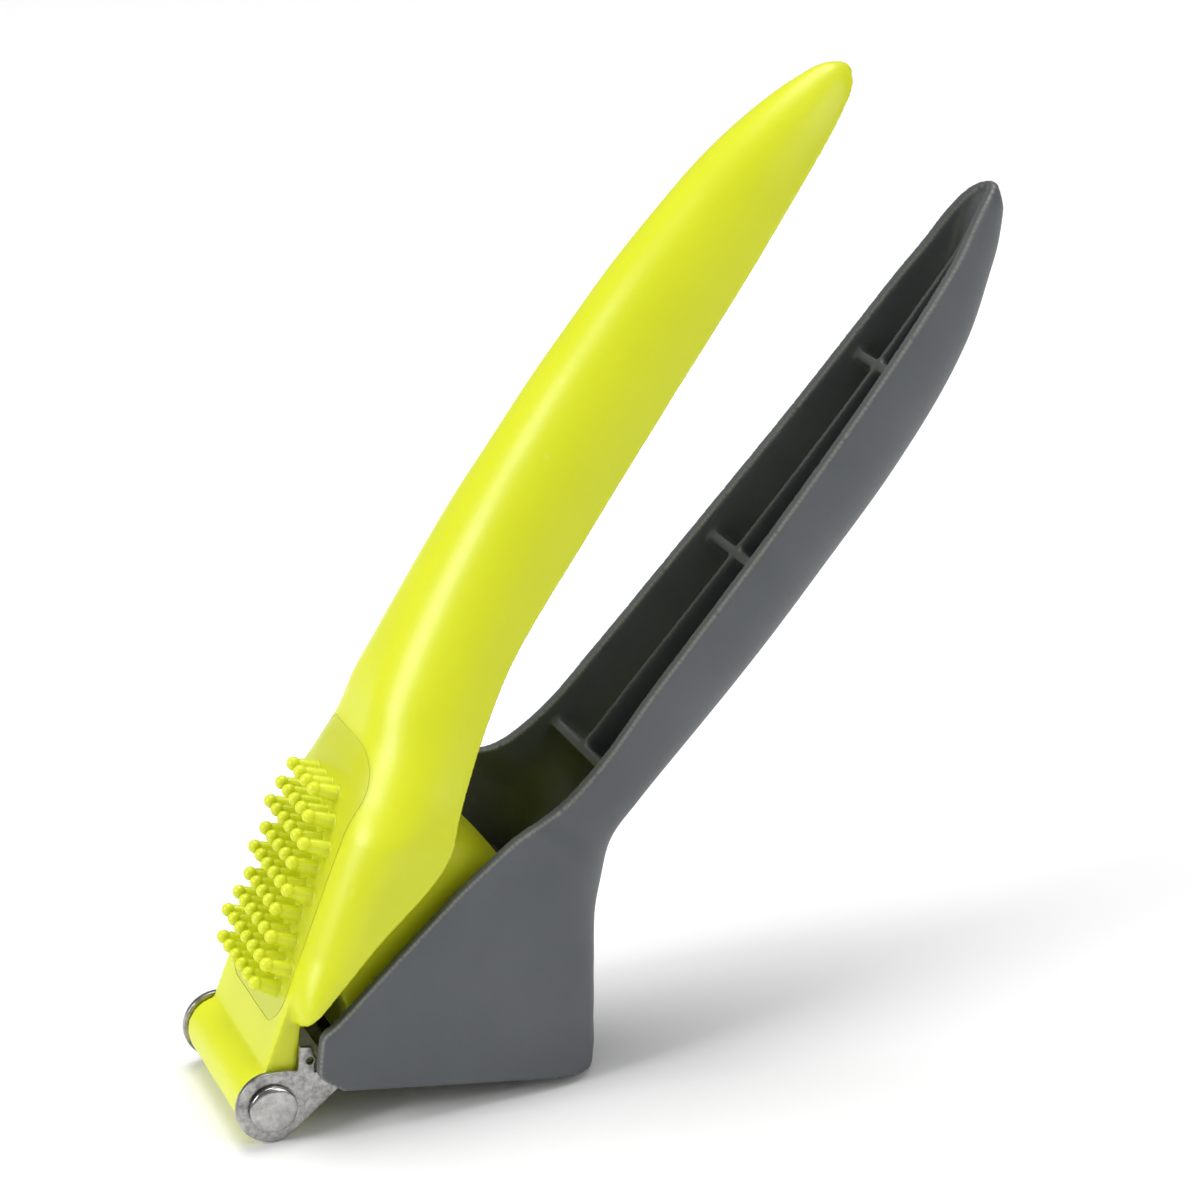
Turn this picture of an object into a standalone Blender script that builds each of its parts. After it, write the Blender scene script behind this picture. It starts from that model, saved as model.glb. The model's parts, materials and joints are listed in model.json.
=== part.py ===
"""Garlic press: a grey lower handle with a steel basket, and a lime upper handle on one hinge pin.

Everything is drawn in millimetres in the hinge frame: the origin is the middle of the hinge pin, +X runs
along the base of the housing away from the hinge, +Y runs along the pin and +Z is up from the base.
One empty then stands the press on its two ears and the rear edge of its base.
"""
from math import acos, asin, atan2, cos, degrees, hypot, pi, radians, sin

import bmesh
import bpy
import numpy as np
from mathutils import Matrix, Vector

MM = 0.001
GAP = 0.3                      # left between pieces that touch

# lower handle
BASE_Z = 3.5                   # underside of the housing above the pin's axis
HOUSING_HALF = 20.5            # half width of the housing
HOUSING_REAR = 53.7            # rear of the base
WALL = 2.4                     # moulded wall
CORNER = 14.0                  # length of the rounded part of each section
RIB_DROP = 2.4                 # rib tops below the rim
RIB_THICK = 1.5
LONG_RIB_THICK = 1.3

# hinge
PIN_RADIUS = 2.0
BORE_RADIUS = 2.35
HEAD_RADIUS = 3.9
HEAD_HEIGHT = 1.2
EAR_RADIUS = 5.7
PLATE_INNER = 15.95            # inner face of each hinge plate
PLATE_OUTER = 17.05
BARREL_RADIUS = 5.2
BARREL_HALF = 15.6
NECK_BACK = 4.0                # rear face of the neck between the ears
CLOSE_DEG = 4.2                # from the modelled pose to the plunger flat over the sieve

# cleaner pad, in its own plane: `run` is measured from the pin's axis and `lift` out of the handle
PAD_ANGLE = 74.5               # direction of the pad's plane above the base
PAD_LIFT = 2.6
PAD_THICK = 2.0
PAD_START = 11.3
PAD_END = 56.2
PAD_HALF = 13.5
PAD_CORNERS = (5.0, 8.0)       # corner radii at the hinge end and at the handle end
ROW_COUNTS = (6, 7, 6, 5, 6, 5, 6, 5, 4)      # cleaning pins in each row, from the hinge outwards
ROW_START = 16.4
ROW_PITCH = 3.87
IN_ROW_PITCH = 3.87
PIN_TIP_LIFT = 7.6
PIN_BASE_RADIUS = 1.2
PIN_TIP_RADIUS = 0.95
PIN_SIDES = 8

# sieve and basket
SIEVE_BOTTOM = 5.5
SIEVE_THICK = 1.0
SIEVE_HALF = 14.6
SIEVE_HOLE_RADIUS = 1.42
SIEVE_HOLE_SHIFT = 0.15        # the pins swing in on an arc
BASKET_HALF = 15.7
BASKET_WALL = 0.8
BASKET_FRONT = 7.2
BASKET_FLOOR = 3.9
BASKET_REAR = 51.0
BASKET_CORNER = 11.0
PLUNGER_HALF = 14.4
PLUNGER_WALL = 2.4

LIME = (0.63, 0.74, 0.03)
GREY = (0.11, 0.12, 0.13)
STEEL = (0.62, 0.61, 0.58)


def material(name, colour, roughness, metallic=0.0):
    made = bpy.data.materials.new(name)
    made.use_nodes = True
    shader = made.node_tree.nodes["Principled BSDF"]
    shader.inputs["Base Color"].default_value = (*colour, 1.0)
    shader.inputs["Roughness"].default_value = roughness
    shader.inputs["Metallic"].default_value = metallic
    return made


def collection(name):
    made = bpy.data.collections.new(name)
    bpy.context.scene.collection.children.link(made)
    return made


def pad_point(run, lift, y=0.0):
    """Hinge frame point from its distance along the pad's plane and its height out of the handle."""
    angle = radians(PAD_ANGLE)
    return (run * cos(angle) - lift * sin(angle), y, run * sin(angle) + lift * cos(angle))


def turned(x, z, degrees):
    """The point turned anticlockwise about the pin, seen from the near side."""
    angle = radians(degrees)
    return (x * cos(angle) - z * sin(angle), x * sin(angle) + z * cos(angle))


def new_object(name, bm, finish, home):
    bmesh.ops.remove_doubles(bm, verts=bm.verts, dist=1e-7)
    bmesh.ops.recalc_face_normals(bm, faces=bm.faces)
    mesh = bpy.data.meshes.new(name)
    bm.to_mesh(mesh)
    bm.free()
    made = bpy.data.objects.new(name, mesh)
    home.objects.link(made)
    if finish:
        made.data.materials.append(finish)
    else:
        made.hide_render = True
        made.display_type = "WIRE"
    return made


def combine(target, other, operation):
    step = target.modifiers.new(other.name, "BOOLEAN")
    step.operation = operation
    step.object = other
    step.solver = "EXACT"


def prism(name, outline, y0, y1, finish, home):
    """A side outline in the XZ plane, drawn as a solid from y0 to y1."""
    bm = bmesh.new()
    near = [bm.verts.new((x * MM, y0 * MM, z * MM)) for x, z in outline]
    face = bm.faces.new(near)
    grown = bmesh.ops.extrude_face_region(bm, geom=[face])
    moved = [v for v in grown["geom"] if isinstance(v, bmesh.types.BMVert)]
    bmesh.ops.translate(bm, verts=moved, vec=(0.0, (y1 - y0) * MM, 0.0))
    return new_object(name, bm, finish, home)


def rod(bm, start, end, r0, r1, sides):
    """A closed cone or cylinder between two hinge frame points."""
    a = Vector(start) * MM
    b = Vector(end) * MM
    turn = (b - a).to_track_quat("Z", "Y").to_matrix().to_4x4()
    place = Matrix.Translation((a + b) / 2) @ turn
    bmesh.ops.create_cone(bm, cap_ends=True, segments=sides, radius1=r0 * MM, radius2=r1 * MM,
                          depth=(b - a).length, matrix=place)


def rod_object(name, ends, radius, sides, finish, home):
    bm = bmesh.new()
    for start, end in ends:
        rod(bm, start, end, radius, radius, sides)
    return new_object(name, bm, finish, home)


def refine(rows, steps, straight):
    """Rows of numbers filled in between: the first spans are straight and the rest follow a smooth curve."""
    rows = np.array(rows, float)
    last = len(rows) - 1
    out = []
    for i in range(last):
        p1, p2 = rows[i], rows[i + 1]
        p0 = rows[i - 1] if i > straight else p1 - (p2 - p1)
        p3 = rows[min(i + 2, last)]
        count = 1 if i < straight else steps
        for k in range(count):
            t = k / count
            tangent1 = (p2 - p0) / 2
            tangent2 = (p3 - p1) / 2
            smooth = ((2 * t**3 - 3 * t**2 + 1) * p1 + (t**3 - 2 * t**2 + t) * tangent1
                      + (3 * t**2 - 2 * t**3) * p2 + (t**3 - t**2) * tangent2)
            out.append(p1 + (p2 - p1) * t if i < straight else smooth)
    out.append(rows[last])
    return np.array(out)


def arch(row, inset, count):
    """The U of one section: near leg, round the far end, far leg.
    A row is ax, az, bx, bz, half, corner, power."""
    ax, az, bx, bz, half, corner, power = row
    length = hypot(bx - ax, bz - az)
    ux, uz = (bx - ax) / length, (bz - az) / length
    half = max(half - inset, 0.12)
    length = max(length - inset, 0.2)
    corner = min(max(corner - inset, 0.15), length * 0.98)
    points = [(-half, 0.0)]
    for k in range(-count, count + 1):
        angle = pi / 2 * (1 - abs(k) / count)
        y = half * max(cos(angle), 0.0) ** (2 / power) * (1 if k > 0 else -1)
        points.append((0.0 if k == 0 else y, length - corner + corner * sin(angle) ** (2 / power)))
    points.append((half, 0.0))
    return [(ax + ux * d, y, az + uz * d) for y, d in points]


def row_at(rows, at):
    """The section at a place between two rows."""
    low = min(int(at), len(rows) - 2)
    return rows[low] + (rows[low + 1] - rows[low]) * (at - low)


def ring(bm, points):
    return [bm.verts.new((x * MM, y * MM, z * MM)) for x, y, z in points]


def skin(bm, rings):
    for one, two in zip(rings, rings[1:]):
        for k in range(len(one) - 1):
            bm.faces.new((one[k], one[k + 1], two[k + 1], two[k]))


def channel(name, rows, wall, count, closed_tip, finish, home, settle=0.0):
    """A walled U swept through the section rows, open along its legs. settle is the share of the rows
    over which the inside keeps pace with the outside before it falls short of a closed tip."""
    bm = bmesh.new()
    outer = [ring(bm, arch(row, 0.0, count)) for row in rows]
    last = len(rows) - 1
    stop = last
    if closed_tip:
        stop = max(i for i, row in enumerate(rows) if row[4] > wall + 0.7)
    start = settle * last
    inner = []
    for i in range(last + 1):
        at = i if i < start or not closed_tip else start + (i - start) * (stop - start) / (last - start)
        inner.append(ring(bm, arch(row_at(rows, at), wall, count)))
    skin(bm, outer)
    skin(bm, inner)
    for i in range(last):
        for k in (0, -1):
            bm.faces.new((outer[i][k], outer[i + 1][k], inner[i + 1][k], inner[i][k]))
    ends = (0,) if closed_tip else (0, last)
    for i in ends:
        for k in range(len(outer[0]) - 1):
            bm.faces.new((outer[i][k], outer[i][k + 1], inner[i][k + 1], inner[i][k]))
    if closed_tip:
        bm.faces.new(outer[last])
        bm.faces.new(inner[last])
        bm.faces.new((outer[last][0], outer[last][-1], inner[last][-1], inner[last][0]))
    return new_object(name, bm, finish, home)


def block(name, rows, inset, count, finish, home):
    """A solid swept through the same kind of section, closed across its legs."""
    bm = bmesh.new()
    rings = [ring(bm, arch(row, inset, count)) for row in rows]
    for one, two in zip(rings, rings[1:]):
        for k in range(len(one)):
            bm.faces.new((one[k], one[k - 1], two[k - 1], two[k]))
    bm.faces.new(rings[0])
    bm.faces.new(rings[-1])
    return new_object(name, bm, finish, home)


# ---------------------------------------------------------------- lower body

def lower_rows():
    """Sections of the housing and its handle: rim point, underside point, half width, corner, squareness."""
    half = HOUSING_HALF
    rear = HOUSING_REAR
    return refine([
        (10.0, BASE_Z, rear, BASE_Z, half, CORNER, 3.6),
        (6.0, 6.5, rear, 6.6, half, CORNER, 3.6),
        (6.1, 11.7, rear - 0.5, 11.4, half, CORNER, 3.6),
        (18.0, 25.4, rear - 1.2, 19.5, half, CORNER, 3.6),
        (29.9, 38.4, 52.0, 28.0, half - 0.1, CORNER, 3.3),
        (36.3, 43.6, 52.9, 32.9, 19.5, 13.0, 2.9),
        (42.4, 46.1, 54.7, 38.0, 16.6, 12.0, 2.7),
        (48.8, 51.9, 59.5, 43.8, 15.0, 12.5, 2.5),
        (57.2, 63.3, 69.0, 55.2, 13.6, 14.0, 2.4),
        (67.0, 76.9, 79.1, 68.5, 12.8, 14.5, 2.4),
        (76.0, 89.5, 88.2, 81.6, 12.0, 14.5, 2.4),
        (86.1, 104.0, 98.2, 96.4, 10.8, 14.0, 2.4),
        (95.9, 118.8, 106.7, 111.8, 9.5, 12.0, 2.3),
        (100.3, 125.7, 109.8, 119.7, 8.6, 10.5, 2.2),
        (104.0, 131.6, 111.6, 126.8, 7.3, 8.5, 2.1),
        (106.8, 136.9, 113.0, 133.1, 5.3, 6.5, 2.0),
        (109.3, 140.6, 113.3, 138.2, 3.0, 4.0, 2.0),
        (111.2, 142.4, 112.4, 141.7, 0.5, 1.0, 2.0),
    ], 2, 4)


def cross_section(row, drop):
    """The point on a section's middle line that lies drop below its rim, and its direction."""
    ax, az, bx, bz = row[:4]
    length = hypot(bx - ax, bz - az)
    return ax + (bx - ax) * drop / length, az + (bz - az) * drop / length


def rib_plate(name, rows, at, cutters):
    """A cross rib: one section of the channel's inside, reaching half way into the wall."""
    row = row_at(rows, at)
    ax, az = cross_section(row, RIB_DROP)
    row = np.array((ax, az, *row[2:]))
    along = (row_at(rows, at + 0.5) - row_at(rows, at - 0.5))[:2]
    along = along / np.linalg.norm(along) * RIB_THICK / 2
    pair = []
    for side in (-1, 1):
        moved = row.copy()
        moved[:4] += side * np.tile(along, 2)
        pair.append(moved)
    return block(name, pair, WALL / 2, 6, None, cutters)


def long_rib(name, rows, first, last, cutters):
    """The rib down the middle of the channel, from the first cross rib almost to the tip."""
    picked = [row_at(rows, first)] + list(rows[int(first) + 1:last])
    top = [cross_section(row, RIB_DROP) for row in picked]
    bottom = []
    for row in picked:
        ax, az, bx, bz = row[:4]
        length = hypot(bx - ax, bz - az)
        bottom.append(cross_section(row, length - WALL * 0.35))
    return prism(name, top + bottom[::-1], -LONG_RIB_THICK / 2, LONG_RIB_THICK / 2, None, cutters)


RIB_AT = (10.1, 15.1, 19.35)   # rows of the lower handle that carry its cross ribs
SHELF_TOP = 29.6
SHELF_OUTLINE = ((44.4, SHELF_TOP), (46.9, 25.4), (50.6, 20.5), (50.6, SHELF_TOP))
BASKET_SCREW_X = 47.4
BASKET_SCREW_RADIUS = 1.0
BASKET_SCREW_LENGTH = 3.2
BASKET_SCREW_Y = 6.5


def basket_screw_holes(name, low, cutters):
    ends = [((BASKET_SCREW_X, y, low), (BASKET_SCREW_X, y, SHELF_TOP + 3.0))
            for y in (-BASKET_SCREW_Y, BASKET_SCREW_Y)]
    return rod_object(name, ends, BASKET_SCREW_RADIUS + GAP, 12, None, cutters)


def lower_handle(parts, cutters, finish):
    rows = lower_rows()
    body = channel("lower_handle", rows, WALL, 7, True, finish, parts, settle=0.75)
    for number, at in enumerate(RIB_AT):
        combine(body, rib_plate(f"rib_{number}", rows, at, cutters), "UNION")
    combine(body, long_rib("long_rib", rows, RIB_AT[0] + 0.03, 24, cutters), "UNION")
    combine(body, prism("shelf", SHELF_OUTLINE, -11.0, 11.0, None, cutters), "UNION")
    holes = basket_screw_holes("pilot_holes", SHELF_TOP - BASKET_SCREW_LENGTH - 0.1, cutters)
    combine(body, holes, "DIFFERENCE")
    return body


def basket_rows():
    """The basket's sections fan out from the hinge so that its rear wall follows the plunger's swing."""
    half, corner = BASKET_HALF, BASKET_CORNER
    return np.array([
        (BASKET_FRONT, BASKET_FLOOR, BASKET_REAR, BASKET_FLOOR, half, corner, 3.0),
        (BASKET_FRONT, 8.2, BASKET_REAR, 7.8, half, corner, 3.0),
        (10.6, 11.6, 50.8, 10.8, half, corner, 3.0),
        (15.4, 18.0, 49.2, 17.5, half, corner, 3.0),
        (20.5, 24.6, 46.4, 25.0, half, corner, 3.0),
        (26.0, 30.6, 43.2, SHELF_TOP + GAP + 0.8, half, corner, 3.0),
    ], float)


def basket(parts, cutters, finish):
    """Thin steel walls, a low front wall, ledges under the sieve and a rear tongue on the housing's shelf."""
    body = channel("basket", basket_rows(), BASKET_WALL, 6, False, finish, parts)
    inner = BASKET_HALF - BASKET_WALL
    front = [(BASKET_FRONT, BASKET_FLOOR), (BASKET_FRONT + 0.8, BASKET_FLOOR),
             (BASKET_FRONT + 0.8, 8.6), (BASKET_FRONT, 8.6)]
    combine(body, prism("front_wall", front, -inner - 0.3, inner + 0.3, None, cutters), "UNION")
    ledge_top = SIEVE_BOTTOM - GAP
    ledge = [(BASKET_FRONT + 0.1, BASKET_FLOOR), (42.0, BASKET_FLOOR), (42.0, ledge_top),
             (BASKET_FRONT + 0.1, ledge_top)]
    combine(body, prism("near_ledge", ledge, -inner - 0.3, -inner + 1.0, None, cutters), "UNION")
    combine(body, prism("far_ledge", ledge, inner - 1.0, inner + 0.3, None, cutters), "UNION")
    tongue_low = SHELF_TOP + GAP
    tongue = [(43.0, tongue_low), (49.2, tongue_low), (49.2, tongue_low + 0.8), (43.0, tongue_low + 0.8)]
    combine(body, prism("tongue", tongue, -9.5, 9.5, None, cutters), "UNION")
    combine(body, basket_screw_holes("tongue_holes", SHELF_TOP - 1.0, cutters), "DIFFERENCE")
    return body


def screw_mesh(name, head_radius, head_height, shank_radius, shank_length, finish):
    """A pan head screw or rivet as one turned solid: seat at the origin, +Z out of the head."""
    sides = 12
    profile = [(shank_radius * 0.55, -shank_length), (shank_radius, -shank_length + shank_radius * 0.4),
               (shank_radius, 0.0), (head_radius, 0.0), (head_radius, head_height * 0.55),
               (head_radius * 0.6, head_height)]
    bm = bmesh.new()
    rings = [ring(bm, [(radius * cos(2 * pi * k / sides), radius * sin(2 * pi * k / sides), z)
                       for k in range(sides)]) for radius, z in profile]
    for one, two in zip(rings, rings[1:]):
        for k in range(sides):
            bm.faces.new((one[k - 1], one[k], two[k], two[k - 1]))
    bm.faces.new(rings[0])
    bm.faces.new(rings[-1])
    bmesh.ops.recalc_face_normals(bm, faces=bm.faces)
    mesh = bpy.data.meshes.new(name)
    bm.to_mesh(mesh)
    bm.free()
    mesh.materials.append(finish)
    return mesh


def fasteners(stem, mesh, seats, parts):
    """One object for each seat, all sharing the mesh. A seat is a point and the way the head faces."""
    made = []
    for number, (point, up) in enumerate(seats, 1):
        piece = bpy.data.objects.new(f"{stem}_{number}", mesh)
        piece.location = Vector(point) * MM
        piece.rotation_euler = Vector(up).to_track_quat("Z", "Y").to_euler()
        parts.objects.link(piece)
        made.append(piece)
    return made


def basket_screws(parts, finish):
    seat = SHELF_TOP + GAP + 0.8 + GAP
    mesh = screw_mesh("basket_screw", 1.9, 1.2, BASKET_SCREW_RADIUS, BASKET_SCREW_LENGTH, finish)
    seats = [((BASKET_SCREW_X, y, seat), (0.0, 0.0, 1.0)) for y in (-BASKET_SCREW_Y, BASKET_SCREW_Y)]
    return fasteners("basket_screw", mesh, seats, parts)


def plate_outline():
    """Side view of a hinge plate: ear, strap, small tab and the part that lies along the basket."""
    ear = []
    for k in range(17):
        angle = radians(90 + k * 210 / 16)
        ear.append((EAR_RADIUS * cos(angle), EAR_RADIUS * sin(angle)))
    low = BASE_Z + GAP + 0.1
    inside = [(11.6, low), (40.0, low), (40.0, 9.0), (30.0, 20.0), (14.0, 15.5), (8.0, 9.0), (7.3, 5.6)]
    tab = [(6.3, 5.6), (6.3, 8.0), (5.6, 9.6), (3.7, 9.6), (3.7, 5.7), (2.2, 5.9)]
    return ear + inside + tab


RIVET_PLACES = ((16.0, 12.0), (32.0, 12.0))


def hinge_plate(name, side, parts, cutters, finish):
    y0, y1 = sorted((side * PLATE_INNER, side * PLATE_OUTER))
    body = prism(name, plate_outline(), y0, y1, finish, parts)
    holes = [((0, y0 - 1, 0), (0, y1 + 1, 0))]
    combine(body, rod_object(name + "_bore", holes, BORE_RADIUS, 24, None, cutters), "DIFFERENCE")
    small = [((5.5, y0 - 1, 7.4), (5.5, y1 + 1, 7.4))]
    combine(body, rod_object(name + "_tab_hole", small, 0.55, 10, None, cutters), "DIFFERENCE")
    spans = [((x, y0 - 1, z), (x, y1 + 1, z)) for x, z in RIVET_PLACES]
    combine(body, rod_object(name + "_rivet_holes", spans, 1.2 + GAP, 12, None, cutters), "DIFFERENCE")
    return body


def plate_rivets(parts, finish):
    """Four flat rivets that tie the hinge plates to the basket's walls."""
    mesh = screw_mesh("plate_rivet", 2.0, 0.55, 1.2, 1.1, finish)
    seats = [((x, side * (PLATE_OUTER + GAP), z), (0.0, side, 0.0))
             for side in (-1, 1) for x, z in RIVET_PLACES]
    return fasteners("plate_rivet", mesh, seats, parts)


def row_places():
    """Run and y of every cleaning pin, row by row from the hinge."""
    for index, count in enumerate(ROW_COUNTS):
        run = ROW_START + index * ROW_PITCH
        for k in range(count):
            yield run, (k - (count - 1) / 2) * IN_ROW_PITCH


def sieve_plate(parts, cutters, finish):
    rear = BASKET_REAR - BASKET_WALL - GAP
    front = BASKET_FRONT + 0.8 + GAP
    corner = BASKET_CORNER - BASKET_WALL - GAP
    rows = [(front, z, rear, z, SIEVE_HALF, corner, 3.0) for z in (SIEVE_BOTTOM, SIEVE_BOTTOM + SIEVE_THICK)]
    body = block("sieve_plate", rows, 0.0, 8, finish, parts)
    holes = [(run + SIEVE_HOLE_SHIFT, y) for run, y in row_places()]
    ends = [((x, y, SIEVE_BOTTOM - 1), (x, y, SIEVE_BOTTOM + 2)) for x, y in holes]
    combine(body, rod_object("sieve_holes", ends, SIEVE_HOLE_RADIUS, 10, None, cutters), "DIFFERENCE")
    return body


def hinge_pin(parts, finish):
    """A riveted pin: plain shank between two domed heads."""
    seat = PLATE_OUTER + GAP
    profile = [(0.0, seat + HEAD_HEIGHT)]
    for share in (0.45, 0.8, 1.0):
        profile.append((HEAD_RADIUS * share, seat + HEAD_HEIGHT * (1 - share**2 * 0.6)))
    profile += [(HEAD_RADIUS, seat), (PIN_RADIUS, seat)]
    full = profile + [(radius, -y) for radius, y in reversed(profile)]
    sides = 24
    bm = bmesh.new()
    rings = []
    for radius, y in full[1:-1]:
        rings.append(ring(bm, [(radius * cos(2 * pi * k / sides), y, radius * sin(2 * pi * k / sides))
                               for k in range(sides)]))
    for one, two in zip(rings, rings[1:]):
        for k in range(sides):
            bm.faces.new((one[k - 1], one[k], two[k], two[k - 1]))
    for loop, (_, y) in ((rings[0], full[0]), (rings[-1], full[-1])):
        tip = bm.verts.new((0.0, y * MM, 0.0))
        for k in range(sides):
            bm.faces.new((loop[k - 1], loop[k], tip))
    return new_object("hinge_pin", bm, finish, parts)


# ---------------------------------------------------------------- upper body

def upper_rows():
    """Sections of the lime handle: lower edge point, crown point, half width, corner, squareness."""
    half = HOUSING_HALF

    def crown(run):
        x, _, z = pad_point(run, PAD_LIFT)
        return x, z

    return refine([
        (3.8, 13.4, *crown(13.9), half - 1.8, 8.0, 6.0),
        (4.7, 14.4, *crown(14.8), half - 0.5, 8.0, 6.0),
        (6.0, 16.0, *crown(16.2), half, 8.0, 6.0),
        (13.0, 25.5, *crown(26.0), half, 8.0, 6.0),
        (24.5, 41.0, *crown(43.0), half, 10.0, 4.0),
        (25.7, 46.3, *crown(50.0), 19.4, 13.0, 2.6),
        (27.8, 52.6, 13.4, 55.6, 17.2, 13.0, 2.7),
        (30.3, 59.5, 14.8, 61.3, 15.2, 13.5, 2.5),
        (34.0, 68.5, 17.5, 69.0, 13.4, 14.0, 2.4),
        (38.7, 77.3, 21.9, 79.0, 12.4, 14.5, 2.3),
        (43.8, 85.9, 27.5, 90.3, 11.6, 14.5, 2.3),
        (48.9, 94.8, 33.1, 100.5, 10.9, 15.0, 2.2),
        (53.8, 103.3, 38.6, 110.1, 10.4, 15.0, 2.2),
        (58.8, 112.1, 44.2, 119.0, 10.0, 15.0, 2.2),
        (64.1, 121.2, 49.7, 127.5, 9.6, 14.5, 2.2),
        (69.1, 129.9, 55.9, 136.0, 9.1, 14.0, 2.2),
        (73.9, 138.5, 63.1, 145.0, 8.4, 13.0, 2.2),
        (79.9, 148.5, 71.5, 153.3, 6.6, 10.0, 2.1),
        (83.2, 153.9, 77.2, 157.7, 4.7, 7.0, 2.0),
        (85.1, 157.4, 81.5, 160.0, 2.6, 4.0, 2.0),
        (85.4, 159.2, 84.2, 160.2, 0.5, 1.0, 2.0),
    ], 2, 5)


WEB_LIFT = (-2.4, 0.3)         # the floor under the pad, inside the handle
SCREW_RUNS = (24.0, 42.0)
SCREW_Y = 10.2


def screw_lines(low, high):
    return [(pad_point(run, low, y), pad_point(run, high, y))
            for run in SCREW_RUNS for y in (-SCREW_Y, SCREW_Y)]


def rounded_plate(name, margin, low, high, finish, home):
    """The pad's outline, grown by a margin, as a plate between two lifts."""
    start, end, half = PAD_START - margin, PAD_END + margin, PAD_HALF + margin
    near_corner, far_corner = (corner + margin for corner in PAD_CORNERS)
    bm = bmesh.new()
    loops = []
    for lift in (low, high):
        points = []
        for x_side, y_side, first in ((1, 1, 0), (-1, 1, 90), (-1, -1, 180), (1, -1, 270)):
            corner = far_corner if x_side > 0 else near_corner
            cx = end - corner if x_side > 0 else start + corner
            cy = y_side * (half - corner)
            for k in range(5):
                angle = radians(first + 90 * k / 4)
                points.append(pad_point(cx + corner * cos(angle), lift, cy + corner * sin(angle)))
        loops.append(ring(bm, points))
    count = len(loops[0])
    for k in range(count):
        bm.faces.new((loops[0][k - 1], loops[0][k], loops[1][k], loops[1][k - 1]))
    bm.faces.new(loops[0])
    bm.faces.new(loops[1])
    return new_object(name, bm, finish, home)


def flat(point):
    return point[0], point[2]


def neck_outline():
    """Side view of the neck: most of the barrel's circle, then up to the floor under the pad."""
    first = PAD_ANGLE + degrees(asin(PAD_LIFT / BARREL_RADIUS))
    last = 360 + degrees(acos(NECK_BACK / BARREL_RADIUS))
    barrel = []
    for k in range(25):
        angle = radians(first + (last - first) * k / 24)
        barrel.append((BARREL_RADIUS * cos(angle), BARREL_RADIUS * sin(angle)))
    under_web = flat(pad_point(19.0, -1.9))
    return barrel + [(NECK_BACK, 12.2), (6.0, 14.4), under_web, flat(pad_point(19.0, PAD_LIFT))]


def upper_handle(parts, cutters, finish):
    body = channel("upper_handle", upper_rows(), WALL, 7, True, finish, parts, settle=0.75)
    under, over = WEB_LIFT[0], WEB_LIFT[1] + 0.9
    web_rows = [(*flat(pad_point(run, under)), *flat(pad_point(run, over)), HOUSING_HALF, 0.4, 2.0)
                for run in (16.6, 58.0)]
    web = block("web", web_rows, 0.0, 2, None, cutters)
    combine(web, block("web_trim", upper_rows(), WALL / 2, 7, None, cutters), "INTERSECT")
    combine(body, web, "UNION")
    combine(body, prism("neck", neck_outline(), -BARREL_HALF, BARREL_HALF, None, cutters), "UNION")
    bore = rod_object("barrel_bore", [((0, -20, 0), (0, 20, 0))], BORE_RADIUS, 24, None, cutters)
    combine(body, bore, "DIFFERENCE")
    recess = rounded_plate("pad_recess", GAP, WEB_LIFT[1], 6.0, None, cutters)
    combine(body, recess, "DIFFERENCE")
    pockets = rod_object("head_pockets", screw_lines(-1.2, 3.0), 2.3 + GAP, 12, None, cutters)
    combine(body, pockets, "DIFFERENCE")
    holes = rod_object("web_holes", screw_lines(-4.0, 1.0), 1.35 + GAP, 12, None, cutters)
    combine(body, holes, "DIFFERENCE")
    return body


def cleaner_pad(parts, cutters, finish):
    """A plate trimmed flush with the handle's crown, with a field of blunt pins."""
    body = rounded_plate("cleaner_pad", 0.0, PAD_LIFT - PAD_THICK, PAD_LIFT + 1.2, finish, parts)
    rows = upper_rows()[2:]
    down = Vector(flat(pad_point(PAD_START - ROW_START, 0.0)))
    first = rows[0].copy()
    first[0:2] += down
    first[2:4] += down
    combine(body, block("crown_trim", [first, *rows], 0.0, 7, None, cutters), "INTERSECT")
    bm = bmesh.new()
    normal = Vector(pad_point(0.0, 1.0))
    along = Vector(pad_point(1.0, 0.0))
    across = Vector((0.0, 1.0, 0.0))
    profile = [(PIN_BASE_RADIUS, PAD_LIFT - 1.0), (PIN_BASE_RADIUS, PAD_LIFT),
               (PIN_TIP_RADIUS, PIN_TIP_LIFT - 0.7), (PIN_TIP_RADIUS * 0.5, PIN_TIP_LIFT)]
    for run, y in row_places():
        rings = []
        for radius, lift in profile:
            points = []
            for k in range(PIN_SIDES):
                angle = 2 * pi * (k + 0.5) / PIN_SIDES
                side = along * cos(angle) + across * sin(angle)
                points.append(tuple(along * run + across * y + normal * lift + side * radius))
            rings.append(ring(bm, points))
        for one, two in zip(rings, rings[1:]):
            for k in range(PIN_SIDES):
                bm.faces.new((one[k - 1], one[k], two[k], two[k - 1]))
        bm.faces.new(rings[0])
        bm.faces.new(rings[-1])
    combine(body, new_object("cleaning_pins", bm, None, cutters), "UNION")
    return body


def plunger_rows():
    """The wedge under the handle: flat face over the sieve, rear wall on an arc about the pin."""
    def back(x, z):
        return turned(x, z, CLOSE_DEG)

    top = WEB_LIFT[0] - GAP
    return np.array([
        (*back(12.4, 7.0), *back(49.4, 7.0), PLUNGER_HALF, 9.0, 3.0),
        (*back(12.9, 11.0), *back(46.7, 19.4), PLUNGER_HALF, 9.0, 3.0),
        (*back(12.2, 14.8), *back(40.4, 31.6), PLUNGER_HALF, 9.0, 3.0),
        (*back(10.6, 17.0), *back(30.6, 41.6), PLUNGER_HALF, 9.0, 3.0),
        (*flat(pad_point(18.0, top)), *flat(pad_point(51.4, top)), PLUNGER_HALF, 9.0, 3.0),
    ], float)


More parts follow.
